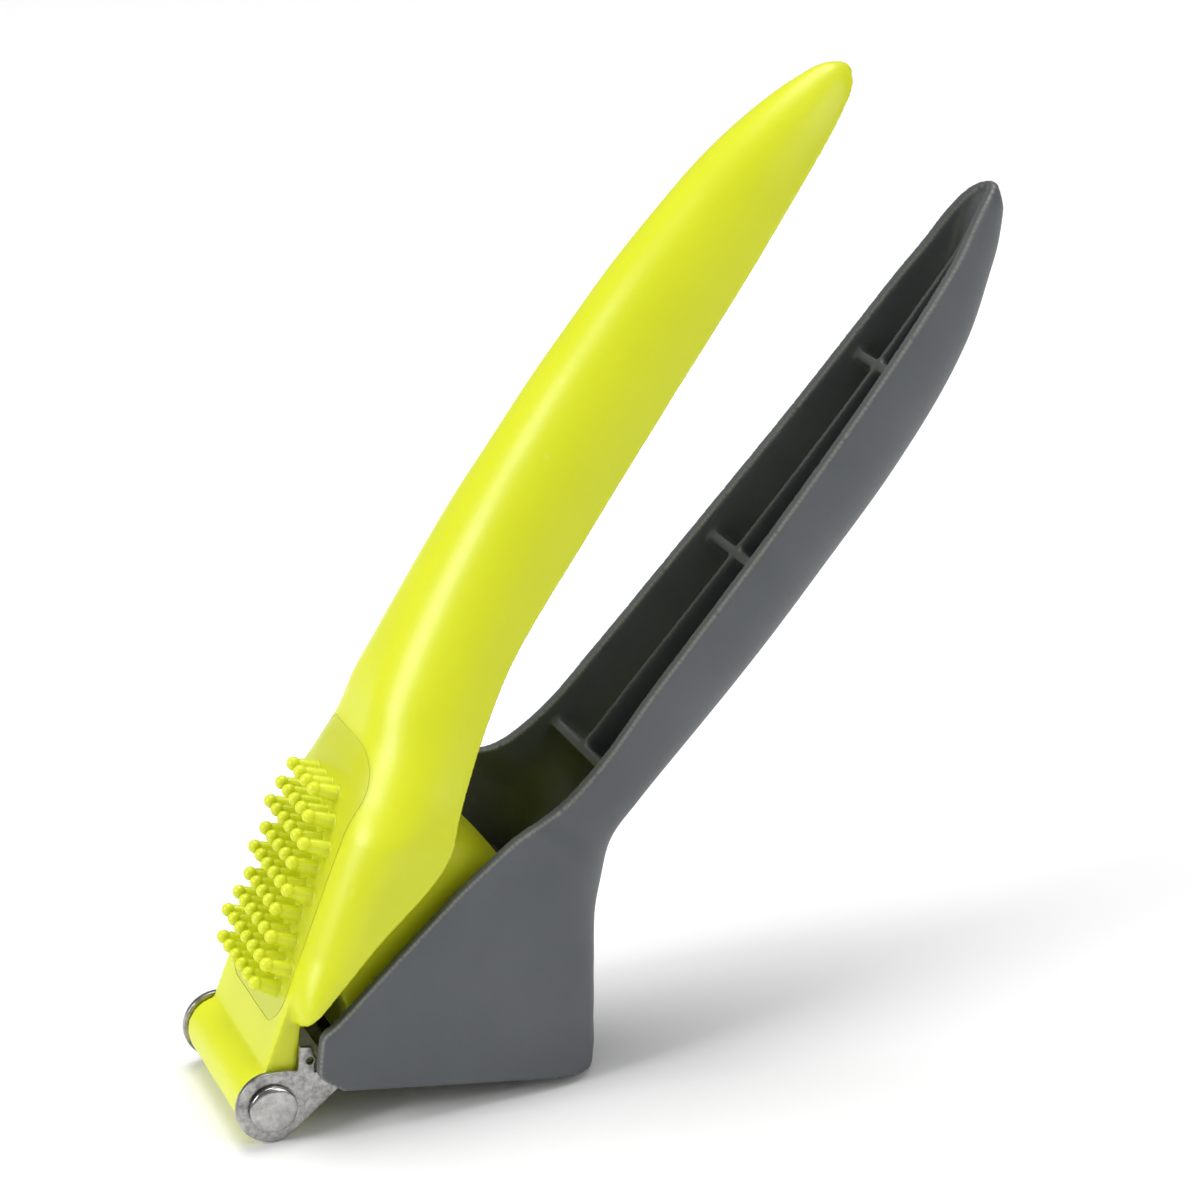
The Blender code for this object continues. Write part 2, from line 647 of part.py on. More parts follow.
def plunger(parts, cutters, finish):
    rows = plunger_rows()
    body = block("plunger", rows, 0.0, 6, finish, parts)
    hollow = rows.copy()
    for i in range(len(rows)):
        ax, az, bx, bz = rows[i][:4]
        length = hypot(bx - ax, bz - az)
        hollow[i][0] += (bx - ax) / length * PLUNGER_WALL
        hollow[i][1] += (bz - az) / length * PLUNGER_WALL
    lift = Vector(turned(0.0, PLUNGER_WALL, CLOSE_DEG))
    hollow[0][0:2] += lift
    hollow[0][2:4] += lift
    over = Vector(flat(pad_point(0.0, 1.0)))
    hollow[-1][0:2] += over
    hollow[-1][2:4] += over
    combine(body, block("plunger_hollow", hollow, PLUNGER_WALL, 6, None, cutters), "DIFFERENCE")
    bosses = rod_object("plunger_bosses", screw_lines(-11.5, WEB_LIFT[0] - GAP), 3.4, 12, None, cutters)
    combine(body, bosses, "UNION")
    pilots = rod_object("plunger_pilots", screw_lines(-10.0, 2.0), 1.35 + GAP, 12, None, cutters)
    combine(body, pilots, "DIFFERENCE")
    return body


def plunger_screws(parts, finish):
    mesh = screw_mesh("plunger_screw", 2.3, 1.1, 1.35, 8.6, finish)
    up = pad_point(0.0, 1.0)
    seats = [(pad_point(run, -0.9, y), up) for run in SCREW_RUNS for y in (-SCREW_Y, SCREW_Y)]
    return fasteners("plunger_screw", mesh, seats, parts)


# ---------------------------------------------------------------- placing

HINGE_X = -64.8                # where the pin's axis lies once the press stands on the table


def rest_tilt():
    """The lean, clockwise from the near side, that puts the ears and the base's rear edge on one level."""
    return asin(EAR_RADIUS / hypot(HOUSING_REAR, BASE_Z)) + atan2(BASE_Z, HOUSING_REAR)


def main():
    for thing in list(bpy.data.objects):
        bpy.data.objects.remove(thing, do_unlink=True)
    parts = collection("garlic_press")
    cutters = collection("garlic_press_cutters")
    lime = material("lime_plastic", LIME, 0.42)
    grey = material("grey_plastic", GREY, 0.55)
    steel = material("stainless_steel", STEEL, 0.3, 1.0)

    fixed = [lower_handle(parts, cutters, grey), basket(parts, cutters, steel),
             hinge_plate("near_hinge_plate", -1, parts, cutters, steel),
             hinge_plate("far_hinge_plate", 1, parts, cutters, steel),
             sieve_plate(parts, cutters, steel), hinge_pin(parts, steel)]
    fixed += basket_screws(parts, steel) + plate_rivets(parts, steel)
    moving = [upper_handle(parts, cutters, lime), cleaner_pad(parts, cutters, lime),
              plunger(parts, cutters, lime)] + plunger_screws(parts, steel)

    stand = bpy.data.objects.new("stand", None)
    stand.location = (HINGE_X * MM, 0.0, EAR_RADIUS * MM)
    stand.rotation_euler = (0.0, rest_tilt(), 0.0)
    parts.objects.link(stand)
    hinge = bpy.data.objects.new("hinge_axis", None)
    hinge.parent = stand
    parts.objects.link(hinge)
    for piece in list(cutters.objects) + fixed:
        piece.parent = stand
    for piece in moving:
        piece.parent = hinge


main()
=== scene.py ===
"""Looks for the garlic press: smooth mouldings, steel fittings, a white studio and the camera.

Shapes are drawn in millimetres in the hinge frame: the origin is the middle of the hinge pin, +X runs along
the base of the grey head, +Y along the pin away from the camera and +Z up from the base. `finish_piece`
carries each one into the world, where the press leans on its two ears and the rear edge of its head.
"""
import json
from math import acos, asin, atan2, cos, degrees, exp, hypot, pi, radians, sin

import bmesh
import bpy
import numpy as np
from mathutils import Matrix, Vector
from mathutils.kdtree import KDTree


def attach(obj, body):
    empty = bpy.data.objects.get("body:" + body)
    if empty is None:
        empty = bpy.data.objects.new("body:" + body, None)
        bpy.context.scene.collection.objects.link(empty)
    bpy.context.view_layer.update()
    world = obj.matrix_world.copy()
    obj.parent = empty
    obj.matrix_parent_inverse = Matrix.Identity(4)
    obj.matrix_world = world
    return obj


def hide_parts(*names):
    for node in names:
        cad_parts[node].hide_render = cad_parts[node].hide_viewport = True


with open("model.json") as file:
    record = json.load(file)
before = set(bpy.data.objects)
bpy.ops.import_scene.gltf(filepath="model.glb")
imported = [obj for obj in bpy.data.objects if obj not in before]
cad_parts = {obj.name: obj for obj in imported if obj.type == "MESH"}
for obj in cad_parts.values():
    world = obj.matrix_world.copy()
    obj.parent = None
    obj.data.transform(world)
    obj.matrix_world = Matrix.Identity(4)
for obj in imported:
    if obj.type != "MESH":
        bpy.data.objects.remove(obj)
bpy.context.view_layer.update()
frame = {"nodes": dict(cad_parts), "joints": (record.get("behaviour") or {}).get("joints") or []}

GAP = 0.3
TINY = 1e-4

# hinge and head
EAR_RADIUS = 5.7
EAR_EDGE = 5.67
BASE_Z = 3.5
HOUSING_REAR = 53.7
WALL = 2.4
RIM_ROUND = 0.4
RIM_STEPS = 4
LEAST_HALF = 0.12
# width of the painted highlight along the grey rims' corners
RIM_HIGHLIGHT_WIDTH = 0.5
BARREL_RADIUS = 5.2
BARREL_HALF = 15.6
NECK_BACK = 4.0
BORE_RADIUS = 2.35
PLATE_INNER = 15.95
PLATE_OUTER = 17.05
PLATE_ROLL = 0.4
TAB_HOLE = (5.5, 7.4, 0.55)
HEAD_RADIUS = 3.75
HEAD_HEIGHT = 1.2
HEAD_LIP = 0.5
PIN_RADIUS = 2.0
CLOSE_DEG = 4.2

# cleaner pad: `run` is the distance from the pin's axis along the pad, `lift` the height out of the handle
PAD_ANGLE = 74.5
PAD_LIFT = 2.6
PAD_THICK = 2.0
PAD_START = 11.3
PAD_END = 56.2
PAD_HALF = 13.5
PAD_CORNERS = (5.0, 8.0)
WEB_LIFT = (-2.4, 0.3)
ROW_COUNTS = (6, 7, 6, 5, 6, 5, 6, 5, 4)
ROW_START = 16.4
ROW_PITCH = 3.87
PIN_TIP_LIFT = 7.6
CONE_BASE = 1.3
CONE_TIP = 1.1
CONE_FLARE = 0.35
PAD_TRIM_ABOVE = 1.2
RECESS_TOP = 6.0
CROWN_START = 19.6
SKIRT_MARGIN = GAP * 0.85
SKIRT_INSET = 0.09

# basket and sieve
SIEVE_BOTTOM = 5.5
SIEVE_THICK = 1.0
SIEVE_HALF = 14.6
SIEVE_HOLE_RADIUS = 1.42
SIEVE_HOLE_SHIFT = 0.15
BASKET_HALF = 15.7
BASKET_WALL = 0.8
BASKET_FRONT = 7.2
BASKET_FLOOR = 3.9
BASKET_REAR = 51.0
BASKET_CORNER = 11.0
BASKET_POWER = 3.0
BASKET_LEDGE_END = 42.0
SHELF_TOP = 29.6
SHELF_HALF = 11.0
TONGUE_START = 43.0
TONGUE_END = 49.2
TONGUE_HALF = 9.5
BASKET_SCREW_X = 47.4
BASKET_SCREW_Y = 6.5
PLUNGER_HALF = 14.4
PLUNGER_CORNER = 9.0
PLUNGER_POWER = 3.0

# ribs in the grey handle, counted in its stations
RIB_AT = (8.05, 10.55, 12.68)
LONG_RIB_END = 16.1
RIB_DROP = 2.4
RIB_THICK = 1.5
LONG_RIB_THICK = 1.3

# the floor that rises inside the grey tip, counted in stations, with its depth below the rim at the end
TIP_FLOOR_START = 13.4
TIP_FLOOR_END = 17.3
TIP_FLOOR_DEPTH = 0.7
TIP_FIRST_STATION = 11

# fineness: spacing of the swept sections, points along half an arch, voxel size and rounds of smoothing
GREY_SPACING = 0.8
LIME_SPACING = 1.6
INNER_SPACING = 1.5
HANDLE_ARCH = 22
INNER_ARCH = 20
RIB_ARCH = 16
WEB_ARCH = 8
CIRCLE_STEPS = 48
CORNER_STEPS = 12
DOME_STEPS = 16
GREY_VOXEL, GREY_ROUNDS = 0.40, 3
LIME_VOXEL, LIME_ROUNDS = 0.42, 4
PLUNGER_VOXEL, PLUNGER_ROUNDS = 0.5, 4

# share of a handle's rows before its inside starts to fall short of the closed tip
CHANNEL_SETTLE = 0.75

# Each section: x and z of the edge, x and z of the far side, half width, depth of the rounded corner,
# squareness, half width of the flat part.
LOWER_STATIONS = (
    (10.0, 3.5, 53.7, 3.5, 20.5, 14.0, 3.6, 0.0),
    (6.0, 6.5, 53.7, 6.6, 20.5, 14.0, 3.6, 0.0),
    (6.1, 11.7, 53.2, 11.4, 20.5, 14.0, 3.6, 0.0),
    (8.4, 14.3, 53.1, 13.2, 20.5, 14.0, 3.6, 0.0),
    (18.0, 25.4, 52.5, 19.5, 20.5, 14.0, 3.6, 0.0),
    (29.9, 38.4, 52.0, 28.0, 20.4, 14.0, 3.3, 0.0),
    (36.3, 43.6, 52.9, 32.9, 19.5, 13.0, 2.9, 0.0),
    (42.4, 46.1, 54.7, 38.0, 16.6, 12.0, 2.7, 0.0),
    (48.8, 51.9, 59.5, 43.8, 15.0, 12.5, 2.5, 0.0),
    (57.2, 63.3, 69.0, 55.2, 13.6, 14.0, 2.4, 0.0),
    (67.0, 76.9, 79.1, 68.5, 12.8, 14.5, 2.4, 0.0),
    (76.0, 89.5, 88.2, 81.6, 12.0, 14.5, 2.4, 0.0),
    (86.1, 104.0, 98.2, 96.4, 10.8, 14.0, 2.4, 0.0),
    (95.9, 118.8, 106.7, 111.8, 9.5, 12.0, 2.3, 0.0),
    (100.3, 125.7, 109.8, 119.7, 8.6, 10.5, 2.2, 0.0),
    (104.0, 131.6, 111.6, 126.8, 7.3, 8.5, 2.1, 0.0),
    (106.8, 136.9, 113.0, 133.1, 5.7, 6.5, 2.0, 0.0),
    (109.3, 140.6, 113.3, 138.2, 3.9, 4.0, 2.0, 0.0),
    (110.7, 141.9, 112.6, 140.5, 2.3, 2.0, 2.0, 0.0),
    (111.2, 142.4, 112.4, 141.7, 0.5, 1.0, 2.0, 0.0),
)


def pad_point(run, lift, y=0.0):
    """A point of the hinge frame from its run along the pad, its lift and its y."""
    angle = radians(PAD_ANGLE)
    return (run * cos(angle) - lift * sin(angle), y, run * sin(angle) + lift * cos(angle))


def flat(point):
    """The x and z of a point."""
    return point[0], point[2]


def crown(run):
    """The x and z of the handle's back beside the pad."""
    return flat(pad_point(run, PAD_LIFT))


UPPER_STATIONS = (
    (3.9, 13.2, 3.1, 13.2, 17.6, 1.0, 2.1, 14.0),
    (4.5, 13.9, 2.5, 14.5, 19.2, 3.0, 2.1, 13.6),
    (5.2, 14.9, 2.2, 16.4, 20.1, 4.5, 2.1, 13.2),
    (6.7, 16.9, *crown(CROWN_START), 20.5, 6.0, 2.1, 13.2),
    (13.0, 25.5, *crown(26.0), 20.5, 7.0, 2.1, 13.2),
    (24.5, 41.0, *crown(43.0), 20.5, 8.5, 2.1, 11.8),
    (25.7, 46.3, *crown(50.0), 19.4, 11.5, 2.1, 7.0),
    (27.8, 52.6, 13.4, 55.6, 17.2, 12.5, 2.2, 4.5),
    (30.3, 59.5, 14.8, 61.3, 15.2, 13.5, 2.3, 3.5),
    (34.0, 68.5, 17.5, 69.0, 13.4, 14.0, 2.3, 1.0),
    (38.7, 77.3, 21.9, 79.0, 12.4, 14.5, 2.3, 0.0),
    (43.8, 85.9, 27.5, 90.3, 11.6, 14.5, 2.3, 0.0),
    (48.9, 94.8, 33.1, 100.5, 10.9, 15.0, 2.2, 0.0),
    (53.8, 103.3, 38.6, 110.1, 10.4, 15.0, 2.2, 0.0),
    (58.8, 112.1, 44.2, 119.0, 10.0, 15.0, 2.2, 0.0),
    (64.1, 121.2, 49.7, 127.5, 9.6, 14.5, 2.2, 0.0),
    (69.1, 129.9, 55.9, 136.0, 9.1, 14.0, 2.2, 0.0),
    (73.9, 138.5, 63.1, 145.0, 8.4, 13.0, 2.2, 0.0),
    (79.9, 148.5, 71.5, 153.3, 6.6, 10.0, 2.1, 0.0),
    (83.2, 153.9, 77.2, 157.7, 4.7, 7.0, 2.0, 0.0),
    (85.1, 157.4, 81.5, 160.0, 2.6, 4.0, 2.0, 0.0),
    (85.4, 159.2, 84.2, 160.2, 0.5, 1.0, 2.0, 0.0),
)


# ---------------------------------------------------------------- sweeps

def station_lengths(stations):
    """Distance travelled at each station, by whichever side moves further."""
    points = np.array(stations)[:, :4]
    moves = np.diff(points, axis=0)
    edge = np.hypot(moves[:, 0], moves[:, 1])
    back = np.hypot(moves[:, 2], moves[:, 3])
    return np.concatenate([[0.0], np.cumsum(np.maximum(edge, back))])


def station_slopes(along, values):
    """Tangents of a smooth curve through the stations that never overshoots them."""
    step = np.diff(along)[:, None]
    rise = np.diff(values, axis=0) / step
    before, after = rise[:-1], rise[1:]
    w_before = 2 * step[1:] + step[:-1]
    w_after = step[1:] + 2 * step[:-1]
    agree = before * after > 1e-12
    safe_before = np.where(agree, before, 1.0)
    safe_after = np.where(agree, after, 1.0)
    middle = (w_before + w_after) / (w_before / safe_before + w_after / safe_after)
    return np.vstack([rise[:1], np.where(agree, middle, 0.0), rise[-1:]])


def section_at(stations, place):
    """The section at a place counted in stations, such as 7.5 for half way from the eighth to the ninth."""
    values = np.array(stations)
    along = station_lengths(stations)
    slopes = station_slopes(along, values)
    low = min(int(place), len(values) - 2)
    t = place - low
    span = along[low + 1] - along[low]
    return ((2 * t**3 - 3 * t**2 + 1) * values[low] + (t**3 - 2 * t**2 + t) * span * slopes[low]
            + (3 * t**2 - 2 * t**3) * values[low + 1] + (t**3 - t**2) * span * slopes[low + 1])


def fair(stations, spacing):
    """Sections about `spacing` apart that pass through every station."""
    along = station_lengths(stations)
    count = int(along[-1] / spacing)
    steps = np.linspace(0, along[-1], count)
    for at in along:
        steps[np.abs(steps - at).argmin()] = at
    places = np.interp(np.unique(steps), along, range(len(along)))
    return np.array([section_at(stations, place) for place in places])


def placed(row, points):
    """Section points, given as (distance across, distance in from the edge), carried into the hinge frame."""
    ax, az, bx, bz = row[:4]
    length = hypot(bx - ax, bz - az)
    ux, uz = (bx - ax) / length, (bz - az) / length
    return [(ax + ux * d, y, az + uz * d) for y, d in points]


def arch(row, inset, count, start=0.0):
    """The U of one section, from `start` on one leg, round the far side, to `start` on the other."""
    ax, az, bx, bz, half, corner, power, level = row
    length = max(hypot(bx - ax, bz - az) - inset, 0.2)
    half = max(half - inset, LEAST_HALF)
    level = max(min(level, half - 0.1), 0.0)
    corner = min(max(corner - inset, 0.15), (length - start) * 0.98)
    points = [(-half, start)]
    for k in range(-count, count + 1):
        angle = pi / 2 * (1 - abs(k) / count)
        side = (k > 0) - (k < 0)
        across = side * (level + (half - level) * max(cos(angle), 0.0) ** (2 / power))
        points.append((across, length - corner + corner * sin(angle) ** (2 / power)))
    points.append((half, start))
    return placed(row, points)


def quarter(half, radius, side):
    """The rounded edge of a rim, from its side face to its top; a negative radius turns the other way."""
    turn = [pi / 2 * k / RIM_STEPS for k in range(RIM_STEPS + 1)]
    return [(side * (half - radius * (1 - cos(a))), abs(radius) * (1 - sin(a))) for a in turn]


def rim_radius(row):
    """The rounding of a section's rims, less where the section is very narrow."""
    return min(RIM_ROUND, row[4] * 0.4)


def rim(outer_row, inner_row, wall, side):
    """The rounded rim between the outer and inner leg on one side."""
    radius = rim_radius(outer_row)
    inner_half = max(inner_row[4] - wall, LEAST_HALF)
    outside = placed(outer_row, quarter(outer_row[4], radius, side))
    inside = placed(inner_row, quarter(inner_half, -radius, side))
    return outside + inside[::-1]


def ring(bm, points):
    return [bm.verts.new(point) for point in points]


def skin(bm, rings, closed=False):
    """Faces between each ring and the next; closed rings also join their last point to their first."""
    for one, two in zip(rings, rings[1:]):
        for k in range(0 if closed else 1, len(one)):
            bm.faces.new((one[k - 1], one[k], two[k], two[k - 1]))


def channel(bm, rows, wall, count, closed_tip, settle=0.0):
    """A walled U swept through the sections, open between its legs, with rounded rims.

    With a closed tip the inside keeps pace with the outside for the `settle` share of the rows and then
    falls short of the tip. Gives back the points along the corners of the rims.
    """
    last = len(rows) - 1
    stop = max(i for i, row in enumerate(rows) if row[4] > wall + 0.7) if closed_tip else last
    start = int(settle * last)
    loops, corners = [], []
    for i, row in enumerate(rows):
        at = i if i < start or not closed_tip else start + (i - start) * (stop - start) / (last - start)
        low = min(int(at), last - 1)
        inner_row = rows[low] + (rows[low + 1] - rows[low]) * (at - low)
        radius = rim_radius(row)
        outer = arch(row, 0.0, count, radius)
        inner = arch(inner_row, wall, count, radius)
        far_rim = rim(row, inner_row, wall, 1)
        near_rim = rim(row, inner_row, wall, -1)
        parts = (outer[1:-1], far_rim, inner[-2:0:-1], near_rim[::-1])
        loops.append([ring(bm, part) for part in parts])
        middle = RIM_STEPS // 2
        corners += [parts[k][step] for k in (1, 3) for step in (middle, -1 - middle)]
    skin(bm, [sum(parts, []) for parts in loops], closed=True)
    bm.faces.new(sum(loops[0], []))
    if not closed_tip:
        bm.faces.new(sum(loops[last], []))
        return corners
    outer, far, inner, near = loops[last]
    bm.faces.new([near[-1], *outer, far[0]])
    bm.faces.new([far[-1], *inner, near[0]])
    skin(bm, [far, near[::-1]])
    return corners


def block(bm, rows, inset, count):
    """A solid swept through the same kind of section, closed across its legs."""
    rings = [ring(bm, arch(row, inset, count)) for row in rows]
    skin(bm, rings, closed=True)
    bm.faces.new(rings[0])
    bm.faces.new(rings[-1])


def prism(bm, outline, y0, y1):
    """A side outline in the XZ plane, drawn as a solid from y0 to y1."""
    loops = [ring(bm, [(x, y, z) for x, z in outline]) for y in (y0, y1)]
    skin(bm, loops, closed=True)
    bm.faces.new(loops[0])
    bm.faces.new(loops[1])


def lathe(bm, profile, place, sides):
    """A closed turned solid. The profile is (radius, height) pairs; place turns and moves it."""
    rings = []
    turns = [2 * pi * k / sides for k in range(sides)]
    for radius, height in profile:
        points = [place @ Vector((radius * cos(turn), radius * sin(turn), height)) for turn in turns]
        rings.append(ring(bm, points))
    skin(bm, rings, closed=True)
    bm.faces.new(rings[0])
    bm.faces.new(rings[-1])


def seat(point, up):
    """The transform that stands a turned shape on a point, facing up."""
    return Matrix.Translation(Vector(point)) @ Vector(up).to_track_quat("Z", "Y").to_matrix().to_4x4()


def rod(bm, start, end, radius, sides=32):
    """A plain cylinder from one point to another."""
    length = (Vector(end) - Vector(start)).length
    lathe(bm, [(radius, 0.0), (radius, length)], seat(start, Vector(end) - Vector(start)), sides)


# ---------------------------------------------------------------- pieces

def rest_tilt():
    """The lean that puts the ears and the rear edge of the base on one level."""
    return asin(EAR_RADIUS / hypot(HOUSING_REAR, BASE_Z)) + atan2(BASE_Z, HOUSING_REAR)


HINGE = Vector(frame["joints"][0]["pos_m"])
STAND = Matrix.Translation(HINGE) @ Matrix.Rotation(rest_tilt(), 4, "Y")
TO_WORLD = STAND @ Matrix.Scale(0.001, 4)


def made(name, bm):
    """A new object from the bmesh, its faces turned outwards. Frees the bmesh."""
    bmesh.ops.remove_doubles(bm, verts=bm.verts, dist=TINY)
    bmesh.ops.recalc_face_normals(bm, faces=bm.faces)
    mesh = bpy.data.meshes.new(name)
    bm.to_mesh(mesh)
    bm.free()
    piece = bpy.data.objects.new(name, mesh)
    bpy.context.scene.collection.objects.link(piece)
    return piece


def settle_modifiers(piece):
    """Replaces the mesh by what its modifiers make of it."""
    bpy.context.view_layer.update()
    depsgraph = bpy.context.evaluated_depsgraph_get()
    result = bpy.data.meshes.new_from_object(piece.evaluated_get(depsgraph))
    piece.modifiers.clear()
    piece.data = result
    return piece


def soften(piece, voxel, rounds):
    """Merges overlapping shells into one skin and rounds its edges as a mould does."""
    merge = piece.modifiers.new("merge", "REMESH")
    merge.mode = "VOXEL"
    merge.voxel_size = voxel
    relax = piece.modifiers.new("relax", "SMOOTH")
    relax.factor = 0.5
    relax.iterations = rounds
    return settle_modifiers(piece)


def combine(piece, other, operation):
    """Applies a Boolean with another object and removes that object."""
    step = piece.modifiers.new("combine", "BOOLEAN")
    step.operation = operation
    step.object = other
    step.solver = "EXACT"
    settle_modifiers(piece)
    bpy.data.objects.remove(other)
    return piece


def finish_piece(piece, material, body, nodes, sharp=38):
    """Carries the piece into the world, declares its body and finish and hides the CAD nodes it stands for.
    """
    piece.data.transform(TO_WORLD)
    piece.data.materials.clear()
    piece.data.materials.append(material)
    piece.data.shade_smooth()
    piece.data.set_sharp_from_angle(angle=radians(sharp))
    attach(piece, body)
    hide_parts(*nodes)
    return piece


# ---------------------------------------------------------------- grey handle

def rib_rows(place):
    """The sections at the two faces of a cross rib, whose top lies below the rims."""
    row = section_at(LOWER_STATIONS, place)
    ax, az, bx, bz = row[:4]
    length = hypot(bx - ax, bz - az)
    row[0] += (bx - ax) / length * RIB_DROP
    row[1] += (bz - az) / length * RIB_DROP
    along = (section_at(LOWER_STATIONS, place + 0.3) - section_at(LOWER_STATIONS, place - 0.3))[:2]
    along *= RIB_THICK / 2 / np.linalg.norm(along)
    pair = []
    for side in (-1, 1):
        moved = row.copy()
        moved[:4] += side * np.tile(along, 2)
        pair.append(moved)
    return pair


def along_section(row, distance):
    """The x and z of the point at a distance in from a section's edge."""
    ax, az, bx, bz = row[:4]
    length = hypot(bx - ax, bz - az)
    return ax + (bx - ax) * distance / length, az + (bz - az) * distance / length


def long_rib_outline():
    """Side view of the rib down the middle of the channel."""
    rows = [section_at(LOWER_STATIONS, place) for place in np.linspace(RIB_AT[0], LONG_RIB_END, 60)]
    top = [along_section(row, RIB_DROP) for row in rows]
    bottom = [along_section(row, hypot(row[2] - row[0], row[3] - row[1]) - WALL / 2) for row in rows]
    return top + bottom[::-1]


def tip_floor_rows():
    """The channel's floor, which rises to meet the rim at the tip like the end of a spoon."""
    rows = []
    for share in np.linspace(0.0, 1.0, 12):
        row = section_at(LOWER_STATIONS, TIP_FLOOR_START + (TIP_FLOOR_END - TIP_FLOOR_START) * share)
        depth = hypot(row[2] - row[0], row[3] - row[1]) - WALL
        rise = share * share * (3 - 2 * share)
        row[:2] = along_section(row, depth * (1 - rise) + TIP_FLOOR_DEPTH * rise)
        rows.append(row)
    return rows


def add_tip_floor(bm):
    """Adds the tip's floor, cut off half way through the handle's wall."""
    floor = bmesh.new()
    block(floor, tip_floor_rows(), WALL / 2, RIB_ARCH)
    limit = bmesh.new()
    block(limit, fair(LOWER_STATIONS[TIP_FIRST_STATION:], LIME_SPACING), WALL / 2, HANDLE_ARCH)
    piece = combine(made("tip_floor", floor), made("tip_limit", limit), "INTERSECT")
    bm.from_mesh(piece.data)
    bpy.data.objects.remove(piece)


def mark_rim_highlight(piece, corners):
    """Stores on each vertex how near it is to a rim's corner, where the grey plastic gets a painted
    highlight.
    """
    tree = KDTree(len(corners))
    for index, point in enumerate(corners):
        tree.insert(point, index)
    tree.balance()
    rim_highlight = [exp(-(tree.find(vertex.co)[2] / RIM_HIGHLIGHT_WIDTH) ** 2) for vertex in piece.data.vertices]
    piece.data.attributes.new("rim_highlight", "FLOAT", "POINT").data.foreach_set("value", rim_highlight)


def grey_handle(material):
    bm = bmesh.new()
    rows = fair(LOWER_STATIONS, GREY_SPACING)
    corners = channel(bm, rows, WALL, HANDLE_ARCH, True, settle=CHANNEL_SETTLE)
    for place in RIB_AT:
        block(bm, rib_rows(place), WALL / 2, RIB_ARCH)
    prism(bm, long_rib_outline(), -LONG_RIB_THICK / 2, LONG_RIB_THICK / 2)
    add_tip_floor(bm)
    shelf = ((44.4, SHELF_TOP), (46.9, 25.4), (51.6, 20.5), (51.6, SHELF_TOP))
    prism(bm, shelf, -SHELF_HALF, SHELF_HALF)
    piece = soften(made("grey_handle", bm), GREY_VOXEL, GREY_ROUNDS)
    mark_rim_highlight(piece, corners)
    return finish_piece(piece, material, "lower_body", ["lower_handle"])


# ---------------------------------------------------------------- lime handle

def neck_outline():
    """Side view of the neck: most of the barrel's circle, then up to the floor under the pad."""
    first = PAD_ANGLE + degrees(asin(PAD_LIFT / BARREL_RADIUS))
    last = 360 + degrees(acos(NECK_BACK / BARREL_RADIUS))
    barrel = []
    for k in range(CIRCLE_STEPS + 1):
        angle = radians(first + (last - first) * k / CIRCLE_STEPS)
        barrel.append((BARREL_RADIUS * cos(angle), BARREL_RADIUS * sin(angle)))
    neck_run = 19.0
    return barrel + [(NECK_BACK, 12.2), (6.0, 14.4), flat(pad_point(neck_run, -1.9)), crown(neck_run)]


def pad_prism(bm, margin, low, high):
    """The pad's outline, grown by a margin, as a plate between two lifts."""
    start, end, half = PAD_START - margin, PAD_END + margin, PAD_HALF + margin
    near_corner, far_corner = (corner + margin for corner in PAD_CORNERS)
    loops = []
    for lift in (low, high):
        points = []
        for x_side, y_side, first in ((1, 1, 0), (-1, 1, 90), (-1, -1, 180), (1, -1, 270)):
            corner = far_corner if x_side > 0 else near_corner
            cx = end - corner if x_side > 0 else start + corner
            cy = y_side * (half - corner)
            for k in range(CORNER_STEPS + 1):
                angle = radians(first + 90 * k / CORNER_STEPS)
                points.append(pad_point(cx + corner * cos(angle), lift, cy + corner * sin(angle)))
        loops.append(ring(bm, points))
    skin(bm, loops, closed=True)
    bm.faces.new(loops[0])
    bm.faces.new(loops[1])


def web_rows():
    """The floor under the pad, its edges rounded to stay inside the handle's skin."""
    rows = []
    low, high = WEB_LIFT[0], WEB_LIFT[1] + 0.9
    for run, half, level in ((16.6, 17.6, 13.8), (43.0, 17.6, 13.8), (50.0, 14.5, 11.0), (58.0, 10.0, 8.0)):
        rows.append((*flat(pad_point(run, low)), *flat(pad_point(run, high)), half, 3.0, 2.0, level))
    return rows


def lime_handle(material):
    bm = bmesh.new()
    rows = fair(UPPER_STATIONS, LIME_SPACING)
    channel(bm, rows, WALL, HANDLE_ARCH, True, settle=CHANNEL_SETTLE)
    block(bm, web_rows(), 0.0, WEB_ARCH)
    prism(bm, neck_outline(), -BARREL_HALF, BARREL_HALF)
    piece = soften(made("lime_handle", bm), LIME_VOXEL, LIME_ROUNDS)
    cut = bmesh.new()
    pad_prism(cut, GAP, WEB_LIFT[1], RECESS_TOP)
    combine(piece, made("pad_recess", cut), "DIFFERENCE")
    cut = bmesh.new()
    rod(cut, (0, -20, 0), (0, 20, 0), BORE_RADIUS)
    combine(piece, made("barrel_bore", cut), "DIFFERENCE")
    return finish_piece(piece, material, "upper_body", ["upper_handle"])


def row_places():
    """Run and y of every cleaning pin, row by row from the hinge."""
    for index, count in enumerate(ROW_COUNTS):
        for k in range(count):
            yield ROW_START + index * ROW_PITCH, (k - (count - 1) / 2) * ROW_PITCH


def crown_rows():
    """The handle's sections from the lobes on, carried back to cover the pad's lower end."""
    rows = list(fair(UPPER_STATIONS[3:], LIME_SPACING))
    first = rows[0].copy()
    first[:4] += np.tile(flat(pad_point(PAD_START - CROWN_START - 0.5, 0.0)), 2)
    return [first, *rows]


def pad_plate(name, margin, inset):
    """The pad's outline, trimmed to lie `inset` below the handle's crown."""
    bm = bmesh.new()
    pad_prism(bm, margin, PAD_LIFT - PAD_THICK, PAD_LIFT + PAD_TRIM_ABOVE)
    plate = made(name, bm)
    bm = bmesh.new()
    block(bm, crown_rows(), inset, HANDLE_ARCH)
    return combine(plate, made("crown_trim", bm), "INTERSECT")


